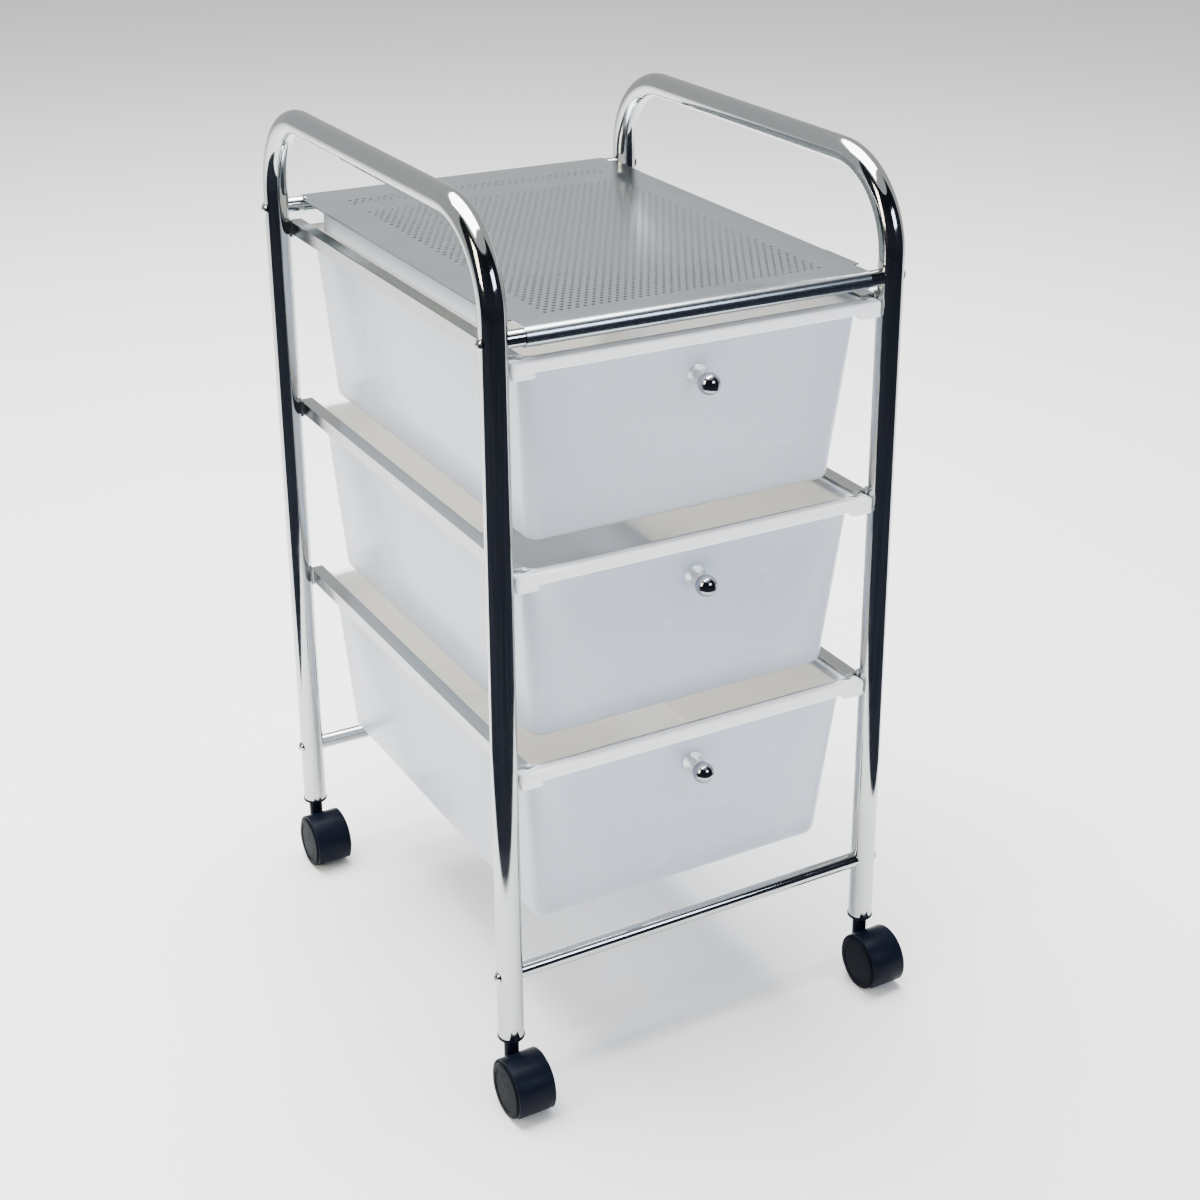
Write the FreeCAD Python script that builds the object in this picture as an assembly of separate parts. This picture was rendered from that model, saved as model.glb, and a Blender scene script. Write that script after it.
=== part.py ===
"""Rolling storage cart: two bent-tube side frames, four crossbars, a folded top tray,
three drawers on channel runners and four twin-wheel swivel casters.

Millimetres. +X is the cart's right, +Y its back, +Z up, and the floor is z = 0.
Shapes are modelled about the middle of the four posts and moved along Y as they are
written, which puts the origin under the middle of the whole cart's bounding box.
"""

import FreeCAD, Part
import math
import os

from FreeCAD import Vector

# ---------------------------------------------------------------- driving dimensions
TUBE_R = 9.5                # side frame tube, 19 mm outside
TUBE_WALL = 1.2
POST_X = 155.0              # post axis, each side of the middle
POST_Y = 193.0              # post axis, in front of and behind the middle
TUBE_END_Z = 52.5           # open lower end of the posts
HANDLE_Z = 658.5            # axis of the handle run
BEND_R = 65.0               # centre-line radius of the handle bends

BAR_R = 6.0                 # crossbars, 12 mm outside
BAR_WALL = 1.0
BAR_TOP_Z = 581.0
BAR_BOTTOM_Z = 104.0
INSERT_LENGTH = 14.0        # threaded plug in each end of a crossbar

SCREW_R = 2.5               # M5 screws that hold the crossbars
SCREW_HOLE_R = 2.6
SCREW_HEAD_R = 4.5
SCREW_HEAD_H = 2.6
SCREW_REACH = 25.0          # from under the head to the tip
RECESS_WIDTH = 1.1          # cross recess in every screw head
RECESS_LENGTH = 5.0
RECESS_DEPTH = 1.2

RUNNER_HEIGHT = 10.0        # channel section of the drawer runners
RUNNER_FLANGE = 10.7
RUNNER_WALL = 1.0
RUNNER_GAP = 0.1            # from the posts, bridged by the welds
WELD_R = 1.5
WELD_Y = 188.0              # upright weld bead on the inner side of each post
RUNNER_FRONT_Y = -188.5
RUNNER_REAR_Y = 196.0
RUNNER_TOP_Z = 568.5        # upper face of the highest runner
DRAWER_PITCH = 150.0

TRAY_SHEET = 1.0
TRAY_HALF_WIDTH = 139.0
TRAY_FLANGE = 15.0          # side edges folded down
TRAY_FLANGE_HALF_LENGTH = 135.0
TRAY_HEM_HALF_LENGTH = 134.0
TRAY_CORNER_HALF_LENGTH = 175.0
HEM_GAP = 0.05              # between the rolled hem and its crossbar
HEM_WRAP_DEG = 255.0

TUB_WALL = 2.0              # moulded drawers
TUB_TOP_HALF_WIDTH = 134.0
TUB_BOTTOM_HALF_WIDTH = 123.0
TUB_TOP_FRONT_Y = -190.0
TUB_BOTTOM_FRONT_Y = -175.0
TUB_TOP_REAR_Y = 180.0
TUB_BOTTOM_REAR_Y = 173.0
TUB_CORNER_R = 11.0
TUB_DEPTH = 138.5
RIM_BELOW_RUNNER_TOP = 3.0
RIM_SHEET = 2.0             # flange round the top of the tub
RIM_HALF_WIDTH = 143.9
RIM_REAR_Y = 187.0
RIM_CORNER_R = 12.0
RIM_INSIDE_BAR = 2.0        # how far the flange stays behind the bar's front
RIM_LIP = 5.7               # depth of the lip that slides in the runners
RIM_LIP_WALL = 1.6
RIM_BAR_HALF_WIDTH = 144.9  # thick bar across the front
RIM_BAR_FRONT_Y = -199.0
RIM_BAR_HEIGHT = 8.5
RIM_BAR_CORNER_R = 6.0
RIM_BAR_EDGE_R = 2.5
STOP_TAB_INNER_X = 128.0    # tabs under the bar, which meet the runners' ends
STOP_TAB_DROP = 3.8

KNOB_BELOW_RIM = 34.2       # where the knob's axis crosses the front wall
KNOB_BALL_R = 8.0
KNOB_BALL_OUT = 16.4        # from the wall to the ball's centre
KNOB_COLLAR_BASE_R = 8.0
KNOB_COLLAR_TIP_R = 6.0
KNOB_COLLAR_LENGTH = 11.0
KNOB_SCREW_R = 2.0
KNOB_SCREW_HOLE_R = 2.2
KNOB_SCREW_DEPTH = 7.0      # thread inside the ball
KNOB_SCREW_HEAD_R = 4.0
KNOB_SCREW_HEAD_H = 2.2

SOCKET_FLANGE_R = 10.0      # plastic bush pressed into the end of each post
SOCKET_FLANGE_H = 2.4
SOCKET_LENGTH = 30.0
SOCKET_WALL_GAP = 0.05
STEM_R = 4.0
STEM_TOP_Z = 80.0
STEM_BOTTOM_Z = 36.8
RING_Z = 72.0               # spring ring that grips the socket
RING_H = 2.5
RING_INNER_R = 3.4
RING_OUTER_R = 4.4
RING_GAP = 0.1

WHEEL_R = 21.0
WHEEL_INNER_X = 4.7         # faces of a wheel, from the middle of its caster
WHEEL_OUTER_X = 16.0
WHEEL_EDGE_R = 1.6
WHEEL_DISH_R = 15.0
WHEEL_DISH_DEPTH = 0.8
WHEEL_BORE_END_X = 13.5
TRAIL = 20.0                # from the swivel axis forward to the axle
AXLE_R = 3.0
AXLE_HALF_LENGTH = 13.0
AXLE_CLEARANCE = 0.05
HOOD_R = 23.0
HOOD_HALF_WIDTH = 14.5
HOOD_SPACE_R = 21.6         # inside the hood, round the wheels
HOOD_WEB_HALF = 4.3         # rib between the two wheels
HOOD_CUT_Z = 8.5
NECK_R = 5.5
NECK_TOP_Z = 49.7
STEM_CLEARANCE = 0.06
STEM_HOLE_BOTTOM_Z = 36.5
OVERRUN = 1.0               # how far a cutting tool passes a face

# ---------------------------------------------------------------- derived dimensions
POST_REAR_REACH = POST_Y + TUBE_R
CASTER_FRONT_REACH = POST_Y + TRAIL + HOOD_R
ORIGIN_SHIFT_Y = (CASTER_FRONT_REACH - POST_REAR_REACH) / 2
RUNNER_OUTER_X = POST_X - TUBE_R - RUNNER_GAP
RUNNER_INNER_X = RUNNER_OUTER_X - RUNNER_FLANGE
TRAY_TOP_Z = BAR_TOP_Z + BAR_R + HEM_GAP + TRAY_SHEET
FRONT_WALL_TILT = math.degrees(
    math.atan2(TUB_BOTTOM_FRONT_Y - TUB_TOP_FRONT_Y, TUB_DEPTH)
)

LEVELS = ("top", "middle", "bottom")
SIDES = {"left": -1, "right": 1}
ENDS = {"front": -1, "rear": 1}

X_AXIS = Vector(1, 0, 0)
Y_AXIS = Vector(0, 1, 0)
Z_AXIS = Vector(0, 0, 1)


# ---------------------------------------------------------------- small helpers
def block(x0, x1, y0, y1, z0, z1):
    """Box between two corners, given axis by axis."""
    return Part.makeBox(x1 - x0, y1 - y0, z1 - z0, Vector(x0, y0, z0))


def rod(radius, start, axis, length):
    """Solid cylinder from a point along an axis."""
    return Part.makeCylinder(radius, length, start, axis)


def pipe(outer_r, inner_r, start, axis, length):
    """Hollow cylinder from a point along an axis."""
    return rod(outer_r, start, axis, length).cut(rod(inner_r, start, axis, length))


def rounded_rectangle(half_width, front_y, rear_y, radius, z):
    """Closed wire of a rectangle with round corners, level at height z."""
    x_in = half_width - radius
    front = front_y + radius
    rear = rear_y - radius
    corners = ((x_in, front, -90), (x_in, rear, 0), (-x_in, rear, 90), (-x_in, front, 180))
    arcs = []
    for x, y, start in corners:
        circle = Part.Circle(Vector(x, y, z), Z_AXIS, radius)
        first = math.radians(start)
        arcs.append(circle.toShape(first, first + math.pi / 2))
    edges = []
    for arc, following in zip(arcs, arcs[1:] + arcs[:1]):
        edges.append(arc)
        edges.append(Part.makeLine(arc.lastVertex(True).Point, following.firstVertex(True).Point))
    return Part.Wire(edges)


def level_prism(half_width, front_y, rear_y, radius, z0, z1):
    """Upright block with round corners in plan."""
    face = Part.Face(rounded_rectangle(half_width, front_y, rear_y, radius, z0))
    return face.extrude(Vector(0, 0, z1 - z0))


def cross_recess(centre, axis, depth):
    """Two crossed slots sunk against the axis, for a screw head facing along it."""
    half = RECESS_WIDTH / 2
    reach = RECESS_LENGTH / 2
    slot = block(-reach, reach, -half, half, -depth, OVERRUN)
    crossing = block(-half, half, -reach, reach, -depth, OVERRUN)
    tool = slot.fuse(crossing)
    tool.Placement = FreeCAD.Placement(centre, FreeCAD.Rotation(Z_AXIS, axis))
    return tool


def domed_head(centre, axis, radius, height):
    """Round-topped screw head whose flat side is at centre."""
    ball_r = (radius**2 + height**2) / (2 * height)
    ball = Part.makeSphere(ball_r, centre + axis * (height - ball_r))
    head = ball.common(rod(radius, centre, axis, height + OVERRUN))
    return head.cut(cross_recess(centre + axis * height, axis, RECESS_DEPTH))


# ---------------------------------------------------------------- frame
def side_frame(side):
    """One bent tube: front post, handle and rear post, drilled for the crossbars."""
    x = side * POST_X
    shoulder_z = HANDLE_Z - BEND_R
    shoulder_y = POST_Y - BEND_R
    diagonal = BEND_R * math.sqrt(0.5)
    front_foot = Vector(x, -POST_Y, TUBE_END_Z)
    front_shoulder = Vector(x, -POST_Y, shoulder_z)
    front_middle = Vector(x, -shoulder_y - diagonal, shoulder_z + diagonal)
    handle_front = Vector(x, -shoulder_y, HANDLE_Z)
    handle_rear = Vector(x, shoulder_y, HANDLE_Z)
    rear_middle = Vector(x, shoulder_y + diagonal, shoulder_z + diagonal)
    rear_shoulder = Vector(x, POST_Y, shoulder_z)
    rear_foot = Vector(x, POST_Y, TUBE_END_Z)
    path = Part.Wire([
        Part.makeLine(front_foot, front_shoulder),
        Part.Arc(front_shoulder, front_middle, handle_front).toShape(),
        Part.makeLine(handle_front, handle_rear),
        Part.Arc(handle_rear, rear_middle, rear_shoulder).toShape(),
        Part.makeLine(rear_shoulder, rear_foot),
    ])
    skins = []
    for radius in (TUBE_R, TUBE_R - TUBE_WALL):
        section = Part.Wire([Part.makeCircle(radius, front_foot, Z_AXIS)])
        skins.append(path.makePipeShell([section], True, True))
    tube = skins[0].cut(skins[1])
    for z in (BAR_TOP_Z, BAR_BOTTOM_Z):
        for end in ENDS.values():
            start = Vector(x - TUBE_R - OVERRUN, end * POST_Y, z)
            tube = tube.cut(rod(SCREW_HOLE_R, start, X_AXIS, 2 * (TUBE_R + OVERRUN)))
    return tube


def without_posts(shape, end):
    """The shape with the two posts of one end cut away, so that it seats on them."""
    for side in SIDES.values():
        foot = Vector(side * POST_X, end * POST_Y, 0)
        shape = shape.cut(rod(TUBE_R, foot, Z_AXIS, HANDLE_Z))
    return shape


def crossbar(end, z):
    """Tube between the two side frames, coped to the posts."""
    start = Vector(-POST_X, end * POST_Y, z)
    bar = pipe(BAR_R, BAR_R - BAR_WALL, start, X_AXIS, 2 * POST_X)
    return without_posts(bar, end)


def at_each_crossbar_end():
    """Yields side, end and height of every joint between a crossbar and a post."""
    for z in (BAR_TOP_Z, BAR_BOTTOM_Z):
        for end in ENDS.values():
            for side in SIDES.values():
                yield side, end, z


def thread_inserts():
    """Plugs with a tapped hole, one in each end of every crossbar."""
    plugs = []
    for side, end, z in at_each_crossbar_end():
        start = Vector(side * POST_X, end * POST_Y, z)
        reach = TUBE_R + INSERT_LENGTH
        plug = pipe(BAR_R - BAR_WALL, SCREW_R, start, X_AXIS * side * -1, reach)
        plugs.append(max(without_posts(plug, end).Solids, key=lambda solid: solid.Volume))
    return Part.makeCompound(plugs)


def crossbar_screws():
    """Dome-headed screws through the posts into the crossbars' plugs."""
    screws = []
    for side, end, z in at_each_crossbar_end():
        outward = X_AXIS * side
        seat = Vector(side * (POST_X + TUBE_R), end * POST_Y, z)
        head = domed_head(seat, outward, SCREW_HEAD_R, SCREW_HEAD_H)
        shank = rod(SCREW_R, seat - outward * SCREW_REACH, outward, SCREW_REACH)
        screws.append(head.fuse(shank))
    return Part.makeCompound(screws)


def runner(side, top_z):
    """Channel that opens towards the drawer, welded to the inside of both posts."""
    outer = side * RUNNER_OUTER_X
    inner = side * RUNNER_INNER_X
    web = outer - side * RUNNER_WALL
    low, high = sorted((outer, inner))
    body = block(low, high, RUNNER_FRONT_Y, RUNNER_REAR_Y, top_z - RUNNER_HEIGHT, top_z)
    low, high = sorted((web, inner - side * OVERRUN))
    slot = block(
        low, high,
        RUNNER_FRONT_Y - OVERRUN, RUNNER_REAR_Y + OVERRUN,
        top_z - RUNNER_HEIGHT + RUNNER_WALL, top_z - RUNNER_WALL,
    )
    body = body.cut(slot)
    for end in ENDS.values():
        foot = Vector(outer + side * WELD_R / 2, end * WELD_Y, top_z - RUNNER_HEIGHT - WELD_R)
        bead = rod(WELD_R, foot, Z_AXIS, RUNNER_HEIGHT + 2 * WELD_R)
        body = body.fuse(without_posts(bead, end))
    return body


# ---------------------------------------------------------------- top tray
def tray_hem(end):
    """Front or rear edge of the tray, rolled round its crossbar."""
    inner = BAR_R + HEM_GAP
    outer = inner + TRAY_SHEET
    length = 2 * TRAY_HEM_HALF_LENGTH
    start = Vector(-TRAY_HEM_HALF_LENGTH, end * POST_Y, BAR_TOP_Z)
    roll = Part.makeCylinder(outer, length, start, X_AXIS, HEM_WRAP_DEG)
    roll = roll.cut(rod(inner, start, X_AXIS, length))
    turn = 90.0 if end < 0 else 90.0 - HEM_WRAP_DEG
    roll.rotate(start, X_AXIS, turn - cylinder_seam_angle(roll, start))
    return roll


def cylinder_seam_angle(roll, start):
    """Angle about +X, from +Y, at which a partly turned cylinder begins."""
    probe_r = BAR_R + HEM_GAP + TRAY_SHEET / 2
    step = 15
    inside = []
    for angle in range(0, 360, step):
        turn = math.radians(angle)
        offset = Vector(TRAY_HEM_HALF_LENGTH, probe_r * math.cos(turn), probe_r * math.sin(turn))
        if roll.isInside(start + offset, 1e-4, True):
            inside.append(angle)
    first = [angle for angle in inside if (angle - step) % 360 not in inside]
    return first[0]


def top_tray():
    """Sheet tray with hems over the crossbars and side edges folded down."""
    under = TRAY_TOP_Z - TRAY_SHEET
    width = TRAY_HALF_WIDTH
    sheet = block(-width, width, -TRAY_CORNER_HALF_LENGTH, TRAY_CORNER_HALF_LENGTH, under, TRAY_TOP_Z)
    tongue = TRAY_HEM_HALF_LENGTH
    sheet = sheet.fuse(block(-tongue, tongue, -POST_Y, POST_Y, under, TRAY_TOP_Z))
    for side in SIDES.values():
        low, high = sorted((side * width, side * (width - TRAY_SHEET)))
        flange = block(
            low, high,
            -TRAY_FLANGE_HALF_LENGTH, TRAY_FLANGE_HALF_LENGTH,
            TRAY_TOP_Z - TRAY_FLANGE, TRAY_TOP_Z,
        )
        sheet = sheet.fuse(flange)
    for end in ENDS.values():
        sheet = sheet.fuse(tray_hem(end))
    return sheet.removeSplitter()


# ---------------------------------------------------------------- drawers
def tub_shell(rim_z):
    """Tapered moulded tub, open at the top."""
    skins = []
    for inset in (0.0, TUB_WALL):
        top = rounded_rectangle(
            TUB_TOP_HALF_WIDTH - inset, TUB_TOP_FRONT_Y + inset, TUB_TOP_REAR_Y - inset,
            TUB_CORNER_R - inset, rim_z,
        )
        bottom = rounded_rectangle(
            TUB_BOTTOM_HALF_WIDTH - inset, TUB_BOTTOM_FRONT_Y + inset, TUB_BOTTOM_REAR_Y - inset,
            TUB_CORNER_R - inset, rim_z - TUB_DEPTH,
        )
        skins.append(Part.makeLoft([bottom, top], True, True))
    floor_z = rim_z - TUB_DEPTH
    everywhere = 2 * TUB_TOP_HALF_WIDTH
    above_floor = block(-everywhere, everywhere, -everywhere, everywhere, floor_z + TUB_WALL, rim_z)
    return skins[0], skins[0].cut(skins[1].common(above_floor))


def rim(rim_z, tub_outside):
    """Flange, sliding lip, front bar and stop tabs, open over the tub's mouth."""
    flange = level_prism(
        RIM_HALF_WIDTH, RIM_BAR_FRONT_Y + RIM_INSIDE_BAR, RIM_REAR_Y, RIM_CORNER_R,
        rim_z - RIM_LIP, rim_z,
    )
    hollow = level_prism(
        RIM_HALF_WIDTH - RIM_LIP_WALL, RIM_BAR_FRONT_Y, RIM_REAR_Y - RIM_LIP_WALL,
        RIM_CORNER_R - RIM_LIP_WALL, rim_z - RIM_LIP - OVERRUN, rim_z - RIM_SHEET,
    )
    flange = flange.cut(hollow)
    bar = level_prism(
        RIM_BAR_HALF_WIDTH, RIM_BAR_FRONT_Y, TUB_TOP_FRONT_Y + TUB_WALL / 2, RIM_BAR_CORNER_R / 2,
        rim_z - RIM_BAR_HEIGHT, rim_z,
    )
    front_edges = [
        edge for edge in bar.Edges
        if abs(edge.CenterOfMass.y - RIM_BAR_FRONT_Y) < TUB_WALL
        and abs(edge.CenterOfMass.z - rim_z + RIM_BAR_HEIGHT / 2) > RIM_BAR_HEIGHT / 4
    ]
    bar = bar.makeFillet(RIM_BAR_EDGE_R, front_edges)
    rim_solid = flange.fuse(bar)
    for side in SIDES.values():
        low, high = sorted((side * STOP_TAB_INNER_X, side * (RIM_BAR_HALF_WIDTH - RIM_BAR_EDGE_R)))
        tab = block(
            low, high,
            RIM_BAR_FRONT_Y + RIM_BAR_EDGE_R / 2, TUB_TOP_FRONT_Y + TUB_WALL / 2,
            rim_z - RIM_BAR_HEIGHT - STOP_TAB_DROP, rim_z - RIM_BAR_HEIGHT + OVERRUN,
        )
        rim_solid = rim_solid.fuse(tab)
    return rim_solid.cut(tub_outside)


def knob_placement(rim_z):
    """Places a shape built along +Z so that it stands out of the sloping front wall."""
    slope = (TUB_BOTTOM_FRONT_Y - TUB_TOP_FRONT_Y) / TUB_DEPTH
    seat = Vector(0, TUB_TOP_FRONT_Y + KNOB_BELOW_RIM * slope, rim_z - KNOB_BELOW_RIM)
    turn = FreeCAD.Rotation(X_AXIS, 90 + FRONT_WALL_TILT)
    return FreeCAD.Placement(seat, turn)


def placed(shape, placement):
    """Copy of a shape at a placement."""
    copy = shape.copy()
    copy.Placement = placement
    return copy


def drawer_tub(rim_z):
    """One moulded drawer with its rim and the hole for the knob's screw."""
    outside, shell = tub_shell(rim_z)
    drawer = shell.fuse(rim(rim_z, outside)).removeSplitter()
    hole = rod(KNOB_SCREW_HOLE_R, Vector(0, 0, -2 * TUB_WALL), Z_AXIS, 3 * TUB_WALL)
    return drawer.cut(placed(hole, knob_placement(rim_z)))


def knob_ball(rim_z):
    """Ball of the knob, tapped for its screw."""
    ball = Part.makeSphere(KNOB_BALL_R, Vector(0, 0, KNOB_BALL_OUT))
    tapped_from = KNOB_BALL_OUT - KNOB_BALL_R - OVERRUN
    hole = rod(KNOB_SCREW_R, Vector(0, 0, tapped_from), Z_AXIS, KNOB_SCREW_DEPTH + OVERRUN)
    return placed(ball.cut(hole), knob_placement(rim_z))


def knob_collar(rim_z):
    """Tapered collar between the drawer's wall and the ball."""
    cone = Part.makeCone(KNOB_COLLAR_BASE_R, KNOB_COLLAR_TIP_R, KNOB_COLLAR_LENGTH)
    cone = cone.cut(Part.makeSphere(KNOB_BALL_R, Vector(0, 0, KNOB_BALL_OUT)))
    cone = cone.cut(rod(KNOB_SCREW_HOLE_R, Vector(0, 0, -OVERRUN), Z_AXIS, KNOB_COLLAR_LENGTH))
    return placed(cone, knob_placement(rim_z))


def knob_screw(rim_z):
    """Screw from inside the drawer into the ball."""
    tip_z = KNOB_BALL_OUT - KNOB_BALL_R + KNOB_SCREW_DEPTH
    head_seat = Vector(0, 0, -TUB_WALL)
    shank = rod(KNOB_SCREW_R, head_seat, Z_AXIS, tip_z + TUB_WALL)
    head = domed_head(head_seat, Z_AXIS * -1, KNOB_SCREW_HEAD_R, KNOB_SCREW_HEAD_H)
    return placed(shank.fuse(head), knob_placement(rim_z))


# ---------------------------------------------------------------- casters
def caster_socket(x, y):
    """Flanged bush in the end of a post."""
    flange_z = TUBE_END_Z - SOCKET_FLANGE_H
    body = rod(TUBE_R - TUBE_WALL - SOCKET_WALL_GAP, Vector(x, y, flange_z), Z_AXIS, SOCKET_LENGTH)
    flange = rod(SOCKET_FLANGE_R, Vector(x, y, flange_z), Z_AXIS, SOCKET_FLANGE_H)
    lower_rim = [edge for edge in flange.Edges if abs(edge.CenterOfMass.z - flange_z) < RING_GAP]
    flange = flange.makeFillet(SOCKET_FLANGE_H / 2, lower_rim[:1])
    bore = rod(STEM_R, Vector(x, y, flange_z - OVERRUN), Z_AXIS, STEM_TOP_Z)
    groove_start = Vector(x, y, RING_Z - RING_GAP)
    groove = rod(RING_OUTER_R + RING_GAP, groove_start, Z_AXIS, RING_H + 2 * RING_GAP)
    return body.fuse(flange).cut(bore).cut(groove).removeSplitter()


def caster_stem(x, y):
    """Steel pin that the caster swivels on, grooved for its spring ring."""
    pin = rod(STEM_R, Vector(x, y, STEM_BOTTOM_Z), Z_AXIS, STEM_TOP_Z - STEM_BOTTOM_Z)
    pin = pin.makeChamfer(OVERRUN, [pin.Edges[0], pin.Edges[-1]])
    groove = pipe(STEM_R + OVERRUN, RING_INNER_R, Vector(x, y, RING_Z), Z_AXIS, RING_H)
    return pin.cut(groove)


def grip_ring(x, y):
    """Split spring ring in the stem's groove."""
    ring = pipe(RING_OUTER_R, RING_INNER_R, Vector(x, y, RING_Z), Z_AXIS, RING_H)
    half = RECESS_WIDTH / 2
    return ring.cut(block(x - half, x + half, y, y + 2 * STEM_R, RING_Z - OVERRUN, RING_Z + 2 * RING_H))


def caster_hood(x, y):
    """Hood over both wheels, with the rib between them and the neck for the stem."""
    axle_y = y - TRAIL
    left = Vector(x - HOOD_HALF_WIDTH, axle_y, WHEEL_R)
    drum = rod(HOOD_R, left, X_AXIS, 2 * HOOD_HALF_WIDTH)
    neck = rod(NECK_R, Vector(x, y, WHEEL_R), Z_AXIS, NECK_TOP_Z - WHEEL_R)
    hood = drum.fuse(neck)
    for side in SIDES.values():
        start = Vector(x + side * HOOD_WEB_HALF, axle_y, WHEEL_R)
        hood = hood.cut(rod(HOOD_SPACE_R, start, X_AXIS * side, HOOD_HALF_WIDTH))
    below = block(x - HOOD_R, x + HOOD_R, y - 3 * HOOD_R, y + HOOD_R, -HOOD_R, HOOD_CUT_Z)
    hood = hood.cut(below)
    stem_hole = Vector(x, y, STEM_HOLE_BOTTOM_Z)
    hood = hood.cut(rod(STEM_R + STEM_CLEARANCE, stem_hole, Z_AXIS, HOOD_R))
    axle_start = Vector(x - HOOD_HALF_WIDTH, axle_y, WHEEL_R)
    return hood.cut(rod(AXLE_R, axle_start, X_AXIS, 2 * HOOD_HALF_WIDTH))


def caster_axle(x, y):
    """Steel pin through the hood's rib, carrying both wheels."""
    start = Vector(x - AXLE_HALF_LENGTH, y - TRAIL, WHEEL_R)
    return rod(AXLE_R, start, X_AXIS, 2 * AXLE_HALF_LENGTH)


def caster_wheel(x, y, side):
    """Moulded wheel with rounded edges, a dished outer face and a blind bore."""
    centre = Vector(x, y - TRAIL, WHEEL_R)
    outward = X_AXIS * side
    inner = centre + outward * WHEEL_INNER_X
    wheel = rod(WHEEL_R, inner, outward, WHEEL_OUTER_X - WHEEL_INNER_X)
    rims = [edge for edge in wheel.Edges if len(edge.Vertexes) == 1]
    wheel = wheel.makeFillet(WHEEL_EDGE_R, rims)
    dish = rod(WHEEL_DISH_R, centre + outward * (WHEEL_OUTER_X - WHEEL_DISH_DEPTH), outward, WHEEL_R)
    bore_length = WHEEL_BORE_END_X - WHEEL_INNER_X + OVERRUN
    bore = rod(AXLE_R + AXLE_CLEARANCE, inner - outward * OVERRUN, outward, bore_length)
    return wheel.cut(dish).cut(bore)


# ---------------------------------------------------------------- assembly
def frame_nodes():
    """Every node of the fixed frame."""
    nodes = {}
    for name, side in SIDES.items():
        nodes[f"{name}_side_frame"] = side_frame(side)
        for level, level_name in enumerate(LEVELS):
            top_z = RUNNER_TOP_Z - level * DRAWER_PITCH
            nodes[f"runner_{name}_{level_name}"] = runner(side, top_z)
    for name, end in ENDS.items():
        nodes[f"crossbar_{name}_top"] = crossbar(end, BAR_TOP_Z)
        nodes[f"crossbar_{name}_bottom"] = crossbar(end, BAR_BOTTOM_Z)
    nodes["crossbar_thread_inserts"] = thread_inserts()
    nodes["crossbar_screws"] = crossbar_screws()
    nodes["top_tray"] = top_tray()
    return nodes


def drawer_nodes():
    """Tub and knob pieces of each drawer."""
    nodes = {}
    for level, name in enumerate(LEVELS):
        rim_z = RUNNER_TOP_Z - level * DRAWER_PITCH - RIM_BELOW_RUNNER_TOP
        nodes[f"drawer_tub_{name}"] = drawer_tub(rim_z)
        nodes[f"knob_ball_{name}"] = knob_ball(rim_z)
        nodes[f"knob_collar_{name}"] = knob_collar(rim_z)
        nodes[f"knob_screw_{name}"] = knob_screw(rim_z)
    return nodes


def caster_nodes():
    """Socket, stem, hood, axle and wheels of each caster."""
    nodes = {}
    rings = []
    for end_name, end in ENDS.items():
        for side_name, side in SIDES.items():
            corner = f"{end_name}_{side_name}"
            x = side * POST_X
            y = end * POST_Y
            nodes[f"caster_socket_{corner}"] = caster_socket(x, y)
            nodes[f"caster_stem_{corner}"] = caster_stem(x, y)
            nodes[f"caster_hood_{corner}"] = caster_hood(x, y)
            nodes[f"caster_axle_{corner}"] = caster_axle(x, y)
            for wheel_name, wheel_side in SIDES.items():
                node = f"caster_wheel_{corner}_{wheel_name}"
                nodes[node] = caster_wheel(x, y, wheel_side)
            rings.append(grip_ring(x, y))
    nodes["stem_grip_rings"] = Part.makeCompound(rings)
    return nodes


def main():
    """Writes one STEP file per node into parts/."""
    os.makedirs("parts", exist_ok=True)
    nodes = {**frame_nodes(), **drawer_nodes(), **caster_nodes()}
    for name, shape in nodes.items():
        shape.translate(Vector(0, ORIGIN_SHIFT_Y, 0))
        shape.exportStep(f"parts/{name}.step")
        valid = all(solid.isValid() for solid in shape.Solids)
        print(f"{name}: {len(shape.Solids)} solid(s), {shape.Volume:.0f} mm3, valid {valid}")


main()
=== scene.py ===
"""Looks of a rolling storage cart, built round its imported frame.

Everything is in metres in the frame's own axes: +X to the cart's right, +Y to its back
and +Z up, with the floor at z = 0. Each class makes one kind of piece, dresses it and
sets it to move with the body it belongs to.
"""

import logging
import math
from contextlib import contextmanager
from dataclasses import dataclass
from enum import Enum
from typing import Any, Callable, Iterator

import bmesh
import bpy
from mathutils import Matrix, Vector


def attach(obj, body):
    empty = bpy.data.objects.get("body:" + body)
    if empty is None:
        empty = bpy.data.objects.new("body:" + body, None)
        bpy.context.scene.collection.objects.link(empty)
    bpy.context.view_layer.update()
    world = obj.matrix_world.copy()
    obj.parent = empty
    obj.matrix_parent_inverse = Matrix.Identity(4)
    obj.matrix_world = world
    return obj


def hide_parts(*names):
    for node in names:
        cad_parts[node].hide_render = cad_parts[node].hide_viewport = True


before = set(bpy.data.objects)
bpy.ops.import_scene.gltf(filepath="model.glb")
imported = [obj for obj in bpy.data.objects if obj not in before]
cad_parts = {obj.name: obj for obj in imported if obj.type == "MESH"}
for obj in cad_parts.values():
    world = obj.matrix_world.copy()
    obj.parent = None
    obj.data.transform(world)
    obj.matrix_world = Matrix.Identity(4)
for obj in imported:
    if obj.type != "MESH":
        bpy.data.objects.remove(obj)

LOG = logging.getLogger("cart")
MM = 0.001
MIDDLE_Y = 16.75 * MM  # middle of the four posts along Y
POST_X = 155 * MM  # axis of each post from the middle of the cart
POST_Y = 193 * MM  # axis of each post from the middle of the four
LEVEL_STEP = 150 * MM  # from one drawer down to the next
TOUCH = 0.01 * MM  # points this close are one
NEAR = 0.02 * MM  # an edge this close to a line lies on it
SLACK = 0.1 * MM  # tells one part of a moulding from the next
RELIEF_DEPTH = 0.05 * MM  # depth of the relief at full strength
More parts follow.
